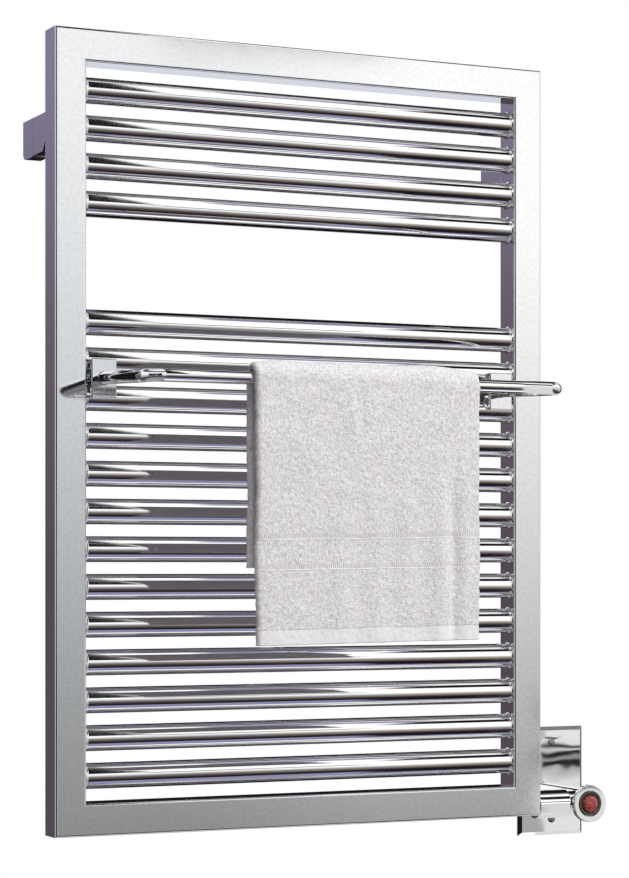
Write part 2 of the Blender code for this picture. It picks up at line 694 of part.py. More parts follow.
def make_switch(chrome, black, red, steel, glass):
    """End ring, bezel, switch housing with its lamp, and the sprung button."""
    place = (UNIT_X, 0, up(UNIT_HEIGHT))
    face = TEE_FRONT
    ring_front = face + 5.3 * MM
    ring_radius = 19.6 * MM
    ring_hole = 11.4 * MM
    recess = 13.6 * MM
    ring_floor = face + 3.5 * MM
    spigot = TEE_BORE - GAP
    spigot_end = face - 4.2 * MM
    ring_profile = [
        (ring_hole, spigot_end),
        (spigot, spigot_end),
        (spigot, face + GAP),
        (ring_radius - 0.4 * MM, face + GAP),
        (ring_radius, face + 0.9 * MM),
        (ring_radius, ring_front - 1.2 * MM),
        (ring_radius - MM, ring_front),
        (recess, ring_front),
        (recess, ring_floor),
        (ring_hole, ring_floor),
    ]
    add(turned("end_ring", ring_profile, 32), chrome, place, FACE_FRONT)

    hole = BUTTON_RADIUS + GAP
    sleeve = 9.7 * MM
    rim = recess - 0.4 * MM
    sleeve_end = face + 0.1 * MM
    lip = face + 5.1 * MM
    bezel_profile = [
        (hole, sleeve_end),
        (sleeve, sleeve_end),
        (sleeve, ring_floor + 0.4 * MM),
        (rim, ring_floor + 0.4 * MM),
        (rim, face + 5.9 * MM),
        (rim - MM, face + 6.3 * MM),
        (sleeve, lip),
        (hole, lip),
    ]
    add(turned("bezel", bezel_profile, 28), black, place, FACE_FRONT)

    housing_radius = ring_hole - GAP
    housing_bore = 10 * MM
    floor = face - 10.2 * MM
    housing_profile = [
        (0, floor - 1.5 * MM),
        (housing_radius, floor - 1.5 * MM),
        (housing_radius, ring_floor),
        (housing_bore, ring_floor),
        (housing_bore, floor),
        (0, floor),
    ]
    add(turned("switch_housing", housing_profile, 24), black, place, FACE_FRONT)
    lamp_profile = [
        (0, floor + GAP),
        (2.6 * MM, floor + GAP),
        (2.6 * MM, floor + 2.4 * MM),
        (1.8 * MM, floor + 3.8 * MM),
        (0, floor + 4.2 * MM),
    ]
    add(turned("indicator_lamp", lamp_profile, SMALL_SIDES), glass, place, FACE_FRONT)

    # The button's origin is on its slide axis, which runs from the room to the wall.
    axis = bpy.data.objects.new("button_axis", None)
    bpy.context.scene.collection.objects.link(axis)
    axis.location = place
    flange = 9.5 * MM
    flange_back = face - 2.2 * MM
    flange_front = sleeve_end - GAP
    lens_profile = [
        (0, flange_back),
        (flange, flange_back),
        (flange, flange_front),
        (BUTTON_RADIUS, flange_front),
        (BUTTON_RADIUS, face + 6.9 * MM),
        (7.5 * MM, face + 8.2 * MM),
        (5.3 * MM, face + 9.1 * MM),
        (2.7 * MM, face + 9.5 * MM),
        (0, face + 9.6 * MM),
    ]
    add(turned("button_lens", lens_profile, 24), red, rotation=FACE_FRONT, parent=axis)

    turns, points_per_turn, coil_radius, wire = 4, 10, 5.6 * MM, 0.35 * MM
    low, high = floor + wire + GAP, flange_back - wire - GAP
    path = []
    for i in range(turns * points_per_turn + 1):
        angle = 2 * math.pi * i / points_per_turn
        height = low + (high - low) * i / (turns * points_per_turn)
        path.append(Vector((coil_radius * math.cos(angle), coil_radius * math.sin(angle), height)))
    add(swept("button_spring", path, wire, 6), steel, place, FACE_FRONT)


def main():
    clear_scene()
    chrome = finish("chrome", (0.82, 0.82, 0.84), 0.08, 1)
    satin = finish("satin_chrome", (0.72, 0.72, 0.73), 0.3, 1)
    steel = finish("zinc_steel", (0.62, 0.62, 0.62), 0.35, 1)
    brass = finish("brass", (0.72, 0.55, 0.25), 0.35, 1)
    black = finish("dark_bezel", (0.05, 0.045, 0.03), 0.2, 0)
    red = finish("red_lens", (0.38, 0.05, 0.04), 0.12, 0)
    glass = finish("lamp_glass", (0.9, 0.5, 0.35), 0.1, 0)
    plastic = finish("white_plastic", (0.75, 0.74, 0.7), 0.5, 0)
    silicone = finish("silicone_lead", (0.55, 0.08, 0.05), 0.55, 0)
    foam = finish("foam_gasket", (0.06, 0.06, 0.06), 0.9, 0)
    terry = finish("white_terry", (0.86, 0.85, 0.84), 0.95, 0)

    rail = make_frame(satin)
    make_filler_plug(rail, brass)
    make_tubes(chrome)
    make_upper_bracket("bracket_left", -1, chrome, steel)
    make_upper_bracket("bracket_right", 1, chrome, steel)
    make_lower_bracket(chrome, steel)
    make_towel_bar(chrome)
    make_bar_clamp("bar_clamp_left", -1, chrome, steel)
    make_bar_clamp("bar_clamp_right", 1, chrome, steel)
    make_towel(terry)
    make_element(steel, brass, plastic, silicone)
    make_connecting_tube(chrome)
    make_tee(chrome, steel)
    make_wall_plate(chrome, steel, foam)
    make_switch(chrome, black, red, steel, glass)


main()
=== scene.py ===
"""Looks of the towel warmer rack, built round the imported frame.

Every piece sits in the frame's own coordinates: the wall is the plane Y = 0, the room is on
the -Y side, +X is to the right and +Z is up.
"""

import math

import bmesh
import bpy
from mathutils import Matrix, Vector, noise


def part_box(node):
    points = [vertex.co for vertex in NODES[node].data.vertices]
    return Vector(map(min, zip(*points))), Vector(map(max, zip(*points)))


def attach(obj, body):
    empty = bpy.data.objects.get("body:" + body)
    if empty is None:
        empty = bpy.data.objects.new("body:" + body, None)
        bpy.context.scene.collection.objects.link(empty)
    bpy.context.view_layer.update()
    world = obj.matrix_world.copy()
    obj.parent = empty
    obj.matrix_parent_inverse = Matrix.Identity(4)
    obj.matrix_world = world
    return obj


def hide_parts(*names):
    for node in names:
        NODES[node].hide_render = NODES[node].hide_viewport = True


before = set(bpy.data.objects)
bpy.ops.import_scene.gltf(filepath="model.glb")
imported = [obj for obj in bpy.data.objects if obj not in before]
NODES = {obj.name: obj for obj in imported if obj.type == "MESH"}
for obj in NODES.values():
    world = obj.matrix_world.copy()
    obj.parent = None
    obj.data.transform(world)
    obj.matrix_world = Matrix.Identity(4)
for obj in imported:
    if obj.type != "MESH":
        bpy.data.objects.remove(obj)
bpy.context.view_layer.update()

MM = 0.001
GAP = 0.3 * MM  # between pieces that fit into one another

# Camera
CAMERA_PLACE = (-1.0803, -2.4298, -0.4236)
CAMERA_AZIMUTH = -25
CAMERA_LENS = 104.97
CAMERA_RISE = 0.1468

# Light
FILL_FRONT = (0.60, 0.593, 0.588)
FILL_BACK = (0.04, 0.018, 0.055)
FILL_LEFT = (0.30, 0.22, 0.32)
KEY_POWER = 66
TOP_POWER = 40

# Rack
SECTION = 31.75 * MM
SECTION_WALL = 1.5 * MM
SECTION_RADIUS = 2.2 * MM
TUBE_WALL = 1.2 * MM
TUBES = 17
WELD_FILLET = [(14.2, 0.15), (13.6, 0.5), (13.1, 1.2), (12.8, 2.2)]  # radius, distance in mm
WELD_END = 3.4 * MM
TUBE_SIDES = 128
BAR_SIDES = 48
BAR_BEND = 15 * MM
BAR_RADIUS = 6.35 * MM
BAR_LEVEL_START = 6 * MM

# Switch unit
CONNECTOR_WALL = 2.2 * MM
BRANCH_RADIUS = 13.2 * MM
BRANCH_BORE = 10.3 * MM
TEE_BORE = 12.8 * MM
RING_THICK = 5.3 * MM
RING_FLOOR = 3.5 * MM
RING_HOLE = 11.4 * MM
RING_RECESS = 13.6 * MM
BEZEL_RIM = 13.2 * MM
BEZEL_SLEEVE = 9.7 * MM
BUTTON_HOLE = 8.8 * MM
BUTTON_RADIUS = 8.5 * MM
BUTTON_FLANGE = 9.5 * MM
SCREW_HEAD = 1.6 * MM
SCREW_SLOT = 1.5 * MM

# Towel
TOWEL_FLAT = (0.465, 0.464)
SIM_FRAMES = 34
HANGING_GRID = (46, 100)  # cells across and along, while it hangs as cloth
SHOWN_GRID = (140, 290)
RIB_PLACES = (70.7, 99.6)  # millimetres from a hem
TICK_ROW = 5.5
TICK_PITCH = 2.1
HEM_TALL = 14.0
LAYER_THICK = 3.4 * MM
LAYER_OFFSET = 2.3 * MM  # of each layer from the drape's middle surface
FOLD_STEPS = 5
DRAPE_DEPTH = 10.2 * MM  # of the drape's middle surface either side of the bar's centre
DRAPE_INSET = 3.6 * MM  # of the drape's middle surface below the top of the solid


def prepare_scene():
    scene = bpy.context.scene
    scene.view_settings.view_transform = "Standard"
    scene.view_settings.look = "None"
    return scene


# Camera, light and floor ----------------------------------------------------------------------


def make_camera(scene):
    data = bpy.data.cameras.new("camera")
    data.lens = CAMERA_LENS
    data.sensor_width = 36
    data.shift_y = CAMERA_RISE
    camera = bpy.data.objects.new("camera", data)
    scene.collection.objects.link(camera)
    camera.location = CAMERA_PLACE
    camera.rotation_euler = (math.radians(90), 0, math.radians(CAMERA_AZIMUTH))
    scene.camera = camera


class Graph:
    """A node tree with short calls for adding linked nodes."""

    def __init__(self, tree):
        self.tree = tree

    def add(self, kind, settings=None, **inputs):
        node = self.tree.nodes.new(kind)
        for key, value in (settings or {}).items():
            setattr(node, key, value)
        for key, value in inputs.items():
            self.feed(node, key, value)
        return node

    def feed(self, node, key, value):
        """Set or link an input by its name, or by its number written as i0, i1 and so on."""
        numbered = key[0] == "i" and key[1:].isdigit()
        socket = node.inputs[int(key[1:]) if numbered else key]
        if isinstance(value, bpy.types.NodeSocket):
            self.tree.links.new(value, socket)
        else:
            socket.default_value = value

    def math(self, operation, first, second=0.0):
        node = self.add("ShaderNodeMath", {"operation": operation})
        self.feed(node, "i0", first)
        self.feed(node, "i1", second)
        return node.outputs[0]

    def plus(self, first, second):
        return self.math("ADD", first, second)

    def minus(self, first, second):
        return self.math("SUBTRACT", first, second)

    def times(self, first, *others):
        product = first
        for other in others:
            product = self.math("MULTIPLY", product, other)
        return product

    def blend(self, factor, first, second):
        node = self.add("ShaderNodeMix", {"data_type": "RGBA"})
        self.feed(node, "i0", factor)
        self.feed(node, "i6", first)
        self.feed(node, "i7", second)
        return node.outputs[2]

    def step(self, value, low, high):
        """0 below low, 1 above high and smooth in between."""
        node = self.add("ShaderNodeMapRange", {"interpolation_type": "SMOOTHSTEP", "clamp": True})
        for i, number in enumerate((value, low, high, 0.0, 1.0)):
            self.feed(node, f"i{i}", number)
        return node.outputs[0]

    def scaled(self, value, low, high, to_low, to_high):
        node = self.add("ShaderNodeMapRange", {"clamp": True})
        for i, number in enumerate((value, low, high, to_low, to_high)):
            self.feed(node, f"i{i}", number)
        return node.outputs[0]

    def ramp(self, factor, stops):
        node = self.add("ShaderNodeValToRGB")
        self.feed(node, "i0", factor)
        elements = node.color_ramp.elements
        while len(elements) < len(stops):
            elements.new(1.0)
        for element, (place, colour) in zip(elements, stops):
            element.position = place
            element.color = (*colour, 1)
        return node.outputs[0]


BLACK = (0.012, 0.009, 0.012)
DUSK = (0.07, 0.05, 0.045)
DIM = (0.17, 0.15, 0.24)
VIOLET = (0.27, 0.27, 0.43)
PALE = (0.75, 0.77, 0.86)
WHITE = (1.15, 1.15, 1.13)


def grey(level, warmth=0.0):
    return (level * (1 + warmth), level, level * (1 - warmth))


def bands(graph, angle, stops, low=-180, high=180):
    """A ramp over an angle from low to high degrees. Each stop is (degrees, colour)."""
    factor = graph.scaled(angle, math.radians(low), math.radians(high), 0, 1)
    span = high - low
    return graph.ramp(factor, [((degrees - low) / span, colour) for degrees, colour in stops])


# What bright metal mirrors, by the angle above the horizon on the room side. Beyond 90 degrees
# either way the direction is on the wall side. The bands were set for the view from
# the main camera. From any other side they fall on other places of the metal.
BELOW = [
    (-180, PALE), (-160, PALE), (-155, BLACK), (-104, BLACK), (-101, WHITE), (-77, WHITE),
    (-74, VIOLET), (-50, VIOLET), (-46, BLACK), (-40, BLACK),
]
LEFT_FRONT = [
    (-25, DUSK), (-12, grey(0.17, 0.1)), (-6, grey(0.33)), (-3, grey(0.42, -0.02)),
    (1, grey(0.6, -0.03)), (6, grey(0.85, -0.02)), (11, grey(1.06)), (12.5, grey(1.06)),
    (13.6, BLACK),
]
RIGHT_FRONT = [
    (-25, (0.12, 0.09, 0.07)), (-12, grey(0.3, 0.1)), (-6, grey(0.42)), (-4, grey(0.54)),
    (0, grey(0.76, 0.02)), (4.5, grey(0.98, 0.02)), (9, grey(1.2, 0.01)),
]
FAR_LEFT_BANDS = BELOW + LEFT_FRONT[:-1] + [
    (18, WHITE), (23, BLACK), (84, BLACK), (88, DIM), (140, DIM), (150, BLACK), (180, BLACK),
]
LEFT_BANDS = BELOW + LEFT_FRONT + [(16, BLACK), (20, WHITE), (82, WHITE), (86, BLACK), (180, BLACK)]
MIDDLE_BANDS = BELOW + LEFT_FRONT + [
    (16, BLACK), (20, WHITE), (64, WHITE), (68, VIOLET), (84, VIOLET), (87, BLACK), (180, BLACK),
]
RIGHT_BANDS = [
    (-180, PALE), (-160, PALE), (-155, BLACK), (-104, BLACK), (-101, WHITE), (-79, WHITE),
    (-76, VIOLET), (-66, VIOLET), (-61, BLACK), (-35, BLACK),
] + RIGHT_FRONT + [
    (42, WHITE), (46, BLACK), (69, BLACK), (72, WHITE), (79, WHITE), (83, BLACK), (180, BLACK),
]
UNIT_BANDS = [
    (-180, grey(0.72)), (-12, grey(0.74)), (-1, grey(0.85)), (13, WHITE), (14, BLACK), (19, BLACK),
    (21, WHITE), (35, WHITE), (39, BLACK), (60, BLACK), (64, WHITE), (80, WHITE), (83, grey(0.16)),
    (90, grey(0.3)), (97, BLACK), (180, BLACK),
]
PLATE_BANDS = [
    (-9, grey(0.78)), (-5.5, grey(0.8)), (-5.3, grey(0.55)), (-5.16, grey(0.36)), (-5.12, BLACK),
    (-4.98, BLACK), (-4.94, grey(0.36)), (-4.88, grey(0.24)), (-4.83, BLACK), (-4.74, BLACK),
    (-4.71, grey(0.75)), (-4.67, grey(0.75)), (-4.64, BLACK), (-4.56, BLACK), (-4.52, grey(0.8)),
    (-4.2, grey(0.85)), (-4.1, grey(0.5)), (-3.9, grey(0.3)), (1, grey(0.85)),
]
STUDIO_BANDS = [
    (-180, (0.3, 0.3, 0.31)), (-110, (0.34, 0.33, 0.34)), (-80, (0.05, 0.045, 0.05)),
    (-50, (0.09, 0.08, 0.09)), (-34, (0.45, 0.44, 0.46)), (-8, (0.6, 0.59, 0.61)),
    (14, (0.85, 0.85, 0.88)), (70, WHITE), (84, (0.1, 0.09, 0.11)),
    (112, (0.14, 0.12, 0.16)), (124, (0.8, 0.8, 0.86)), (180, (0.9, 0.9, 0.94)),
]
SIDE_SHADES = [
    (0.35, (0.10, 0.08, 0.10)), (0.5, (0.10, 0.08, 0.10)), (0.62, (0.16, 0.125, 0.165)),
    (0.73, (0.25, 0.22, 0.33)), (0.9, (0.3, 0.27, 0.42)),
]


def window(graph, value, low, high, soft):
    """1 where value lies between low and high, with soft edges."""
    rise = graph.step(value, low - soft, low + soft)
    fall = graph.step(value, high + soft, high - soft)
    return graph.times(rise, fall)


def room_side(graph, angle, x, y):
    """What the fronts and the tubes mirror, from the left end of the rack to the switch unit."""
    wedge = graph.plus(x, graph.scaled(angle, math.radians(23), math.radians(86), 0, 0.02))
    left = graph.blend(
        graph.step(wedge, 0.36, 0.364),
        bands(graph, angle, FAR_LEFT_BANDS),
        bands(graph, angle, LEFT_BANDS),
    )
    left = graph.blend(graph.step(x, 0.378, 0.386), left, bands(graph, angle, MIDDLE_BANDS))
    leaning = graph.plus(x, graph.scaled(angle, math.radians(35), math.radians(85), 0.012, -0.012))
    gradual = graph.step(x, 0.36, 0.46)
    sudden = graph.step(leaning, 0.447, 0.457)
    near_level = window(graph, angle, math.radians(-30), math.radians(13), 0.02)
    away = graph.minus(1.0, near_level)
    share = graph.plus(graph.times(near_level, gradual), graph.times(away, sudden))
    rack = graph.blend(share, left, bands(graph, angle, RIGHT_BANDS))
    in_plate = window(graph, angle, math.radians(-8.8), math.radians(-3.2), 0.005)
    heading = graph.math("DIVIDE", x, graph.times(y, -1.0))
    over_plate = graph.times(in_plate, graph.step(heading, 0.5795, 0.581))
    over_front = window(graph, angle, math.radians(-8.8), math.radians(13), 0.005)
    beside = graph.times(graph.minus(1.0, over_front), graph.step(x, 0.4955, 0.497))
    plate = bands(graph, angle, PLATE_BANDS, -9, 1)
    unit = graph.blend(in_plate, bands(graph, angle, UNIT_BANDS), plate)
    return graph.blend(graph.plus(over_plate, beside), rack, unit)


def wall_side(graph, coordinates, x, y):
    """The dark wall side with its few bright spots, and where it shows."""
    spots = graph.add("ShaderNodeTexNoise", Vector=coordinates, Scale=11.0, Detail=1.0)
    colour = graph.blend(graph.step(spots.outputs[0], 0.6, 0.64), (*BLACK, 1), (*WHITE, 1))
    shown = graph.times(graph.step(y, 0.885, 0.905), graph.step(x, 0.334, 0.329))
    return colour, graph.times(shown, graph.step(x, -0.31, -0.29))


def mirrored_studio(graph, coordinates, x, y, z):
    """The soft boxes and dark boards that bright metal mirrors."""
    angle = graph.math("ARCTAN2", z, graph.times(y, -1.0))
    lift = graph.times(graph.math("ARCSINE", z), 2.0)
    studio = bands(graph, lift, STUDIO_BANDS)
    behind_right = graph.times(graph.step(x, 0.68, 0.75), graph.step(y, 0.3, 0.4))
    studio = graph.blend(behind_right, studio, (0.05, 0.05, 0.055, 1))
    side = graph.ramp(graph.scaled(z, -0.4, 0.4, 0, 1), SIDE_SHADES)
    leftwards = graph.step(graph.times(x, -1.0), 0.16, 0.24)
    behind_left = graph.times(leftwards, graph.step(y, 0.55, 0.7))
    behind_left = graph.times(behind_left, graph.step(graph.math("ABSOLUTE", z), 0.6, 0.45))
    room = room_side(graph, angle, x, y)
    mirrored = graph.blend(window(graph, x, 0.24, 0.64, 0.04), studio, room)
    wall, wall_shown = wall_side(graph, coordinates, x, y)
    mirrored = graph.blend(wall_shown, mirrored, wall)
    mirrored = graph.blend(behind_left, mirrored, side)
    mirrored = graph.blend(board_at_left(graph, coordinates, x, y, z), mirrored, (*BLACK, 1))
    return graph.blend(left_of_room(graph, x, y, z), mirrored, (*BLACK, 1))


def board_at_left(graph, coordinates, x, y, z):
    """Where the dark board with its few openings stands that the bends of the bar mirror."""
    board = graph.times(window(graph, x, -0.97, -0.15, 0.03), window(graph, z, -0.3, 0.34, 0.03))
    openings = graph.add("ShaderNodeTexNoise", Vector=coordinates, Scale=6.0, Detail=1.0)
    board = graph.times(board, graph.step(openings.outputs[0], 0.64, 0.61))
    return graph.times(board, graph.step(y, -0.15, -0.25))


def left_of_room(graph, x, y, z):
    """Where the dark board stands that the mirror image of the bar's left leg mirrors."""
    lifted = graph.plus(z, -0.07)
    spread = graph.math("SQRT", graph.plus(graph.times(x, x), graph.times(lifted, lifted)))
    ring = window(graph, spread, 0.27, 0.42, 0.02)
    in_front = graph.times(graph.step(y, -0.8, -0.86), graph.step(x, -0.1, -0.14))
    return graph.times(ring, in_front)


def soft_fill(graph, x, y, z):
    """Even light that is brightest from the room, above and the right."""
    tone = graph.blend(graph.step(y, -0.5, 0.05), (*FILL_FRONT, 1), (*FILL_BACK, 1))
    tone = graph.blend(graph.step(x, -0.1, -0.7), tone, (*FILL_LEFT, 1))
    level = graph.times(graph.scaled(x, -0.9, 0.9, 0.2, 1.35), graph.scaled(z, -0.9, 0.9, 0.7, 1.2))
    return tone, level


def make_world(scene):
    """A white backdrop for the camera, the bands that bright metal mirrors, and a soft fill.

    Camera rays see only the backdrop and mirrored rays only the bands. All others see the fill.
    """
    world = bpy.data.worlds.new("studio")
    scene.world = world
    world.use_nodes = True
    graph = Graph(world.node_tree)
    world.node_tree.nodes.clear()
    coordinates = graph.add("ShaderNodeTexCoord").outputs["Generated"]
    direction = graph.add("ShaderNodeSeparateXYZ", i0=coordinates).outputs
    tone, level = soft_fill(graph, *direction)

    path = graph.add("ShaderNodeLightPath")
    fill = graph.add("ShaderNodeBackground", Color=tone, Strength=level)
    shown = graph.add("ShaderNodeBackground", Color=(1, 1, 1, 1), Strength=1.0)
    studio = mirrored_studio(graph, coordinates, *direction)
    mirror = graph.add("ShaderNodeBackground", Color=studio, Strength=1.0)
    # Bright metal passes only the soft fill on to the matt pieces around it.
    direct = graph.math("LESS_THAN", path.outputs["Diffuse Depth"], 0.5)
    seen = graph.times(path.outputs["Is Glossy Ray"], direct)
    light = graph.add("ShaderNodeMixShader", i0=seen, i1=fill.outputs[0], i2=mirror.outputs[0])
    final = graph.add(
        "ShaderNodeMixShader",
        i0=path.outputs["Is Camera Ray"],
        i1=light.outputs[0],
        i2=shown.outputs[0],
    )
    graph.add("ShaderNodeOutputWorld", Surface=final.outputs[0])


def make_light(scene, name, place, target, size, energy):
    data = bpy.data.lights.new(name, "AREA")
    data.shape = "DISK"
    data.size = size
    data.energy = energy
    lamp = bpy.data.objects.new(name, data)
    scene.collection.objects.link(lamp)
    lamp.location = place
    lamp.rotation_euler = (Vector(target) - Vector(place)).to_track_quat("-Z", "Y").to_euler()
    lamp.visible_glossy = False
    lamp.visible_camera = False


def make_stage(scene):
    make_light(scene, "soft_key", (1.9, -2.6, 1.5), (0, -0.1, -0.3), 1.8, KEY_POWER)
    make_light(scene, "soft_top", (-0.3, -1.2, 2.4), (0, -0.1, -0.3), 1.6, TOP_POWER)
    shape = bmesh.new()
    bmesh.ops.create_grid(shape, x_segments=8, y_segments=8, size=4)
    mesh = bpy.data.meshes.new("floor")
    shape.to_mesh(mesh)
    shape.free()
    floor = bpy.data.objects.new("floor", mesh)
    floor.location = (0, 0, -1.65)
    scene.collection.objects.link(floor)
    material, graph, shader, place = start_material("floor_paint")
    grain = graph.add("ShaderNodeTexNoise", Vector=place, Scale=9.0, Detail=6.0)
    tone = graph.blend(grain.outputs[0], (0.84, 0.84, 0.83, 1), (0.88, 0.88, 0.87, 1))
    graph.feed(shader, "Base Color", tone)
    graph.feed(shader, "Roughness", 0.8)
    mesh.materials.append(material)
    floor.visible_glossy = False


# Materials ------------------------------------------------------------------------------------


def start_material(name):
    """A material with its graph, its shader and its object coordinates."""
    material = bpy.data.materials.new(name)
    material.use_nodes = True
    graph = Graph(material.node_tree)
    shader = material.node_tree.nodes["Principled BSDF"]
    place = graph.add("ShaderNodeTexCoord").outputs["Object"]
    return material, graph, shader, place


def stretched(graph, place, scale):
    return graph.add("ShaderNodeMapping", Vector=place, Scale=scale).outputs[0]


def bump(graph, shader, height, strength, distance, below=None):
    node = graph.add("ShaderNodeBump", Height=height, Strength=strength, Distance=distance)
    if below:
        graph.feed(node, "Normal", below)
    graph.feed(shader, "Normal", node.outputs[0])
    return node.outputs[0]


def plated(name, pale, deep, smooth, worn, grain, cloudy, wave=0.0, scratch=0.0):
    """Plated or bare metal: cloudy tone, uneven roughness, hair scratches, a slight waviness.

    grain and cloudy are the scales of the haze and of the tone. wave and scratch are strengths.
    """
    material, graph, shader, place = start_material(name)
    cloud = graph.add("ShaderNodeTexNoise", Vector=place, Scale=cloudy, Detail=5.0, Roughness=0.6)
    tone = graph.blend(graph.scaled(cloud.outputs[0], 0.35, 0.65, 0, 1), (*deep, 1), (*pale, 1))
    graph.feed(shader, "Base Color", tone)
    graph.feed(shader, "Metallic", 1.0)
    haze = graph.add("ShaderNodeTexNoise", Vector=place, Scale=grain, Detail=8.0, Roughness=0.7)
    level = graph.times(haze.outputs[0], cloud.outputs[0])
    graph.feed(shader, "Roughness", graph.scaled(level, 0.12, 0.42, smooth, worn))
    below = None
    if wave:
        swell = graph.add("ShaderNodeTexNoise", Vector=place, Scale=30.0, Detail=1.0)
        below = bump(graph, shader, swell.outputs[0], wave, 0.002)
    if scratch:
        drawn = stretched(graph, place, (1, 6, 6))
        lines = graph.add("ShaderNodeTexNoise", Vector=drawn, Scale=4 * grain, Detail=3.0)
        bump(graph, shader, lines.outputs[0], scratch, 0.0002, below)
    return material


def plastic(name, pale, deep, roughness, fine=900.0, strength=0.08, coat=0.0):
    """Moulded plastic or rubber: faint mottling and a fine moulded grain."""
    material, graph, shader, place = start_material(name)
    cloud = graph.add("ShaderNodeTexNoise", Vector=place, Scale=60.0, Detail=4.0)
    graph.feed(shader, "Base Color", graph.blend(cloud.outputs[0], (*deep, 1), (*pale, 1)))
    uneven = graph.scaled(cloud.outputs[0], 0.3, 0.7, 0.8 * roughness, 1.2 * roughness)
    graph.feed(shader, "Roughness", uneven)
    graph.feed(shader, "Coat Weight", coat)
    grain = graph.add("ShaderNodeTexNoise", Vector=place, Scale=fine, Detail=2.0)
    bump(graph, shader, grain.outputs[0], strength, 0.0002)
    return material


def lens_red():
    """Translucent moulded red with a fine dimpled inner face and painted glints in the dimples."""
    material, graph, shader, place = start_material("red_lens")
    cloud = graph.add("ShaderNodeTexNoise", Vector=place, Scale=160.0, Detail=3.0)
    tone = graph.blend(cloud.outputs[0], (0.20, 0.018, 0.016, 1), (0.38, 0.055, 0.045, 1))
    dimples = graph.add("ShaderNodeTexVoronoi", Vector=place, Scale=420.0)
    # Painted glints: a lighter red at the centre of each dimple, where the bump sinks.
    painted_dimple_glints = graph.scaled(dimples.outputs[0], 0.15, 0.5, 0.8, 0.0)
    tone = graph.blend(painted_dimple_glints, tone, (0.62, 0.17, 0.13, 1))
    graph.feed(shader, "Base Color", tone)
    graph.feed(shader, "Roughness", graph.scaled(cloud.outputs[0], 0.3, 0.7, 0.07, 0.16))
    graph.feed(shader, "Subsurface Weight", 0.25)
    graph.feed(shader, "Subsurface Radius", (0.004, 0.001, 0.001))
    graph.feed(shader, "Coat Weight", 0.6)
    graph.feed(shader, "Coat Roughness", 0.04)
    bump(graph, shader, dimples.outputs[0], 0.4, 0.0005)
    return material


# Black foam for the gasket behind the wall plate. Its black also stands in for the shadow gap at
# the plate's edge: painted shade.
def foam():
    material, graph, shader, place = start_material("foam_gasket")
    cells = graph.add("ShaderNodeTexVoronoi", Vector=place, Scale=1400.0)
    # Painted shade: each cell is darker towards its centre, the pit of the bump below.
    tone = graph.blend(cells.outputs[0], (0.02, 0.02, 0.022, 1), (0.075, 0.075, 0.08, 1))
    graph.feed(shader, "Base Color", tone)
    graph.feed(shader, "Roughness", 0.95)
    bump(graph, shader, cells.outputs[0], 0.7, 0.0004)
    return material


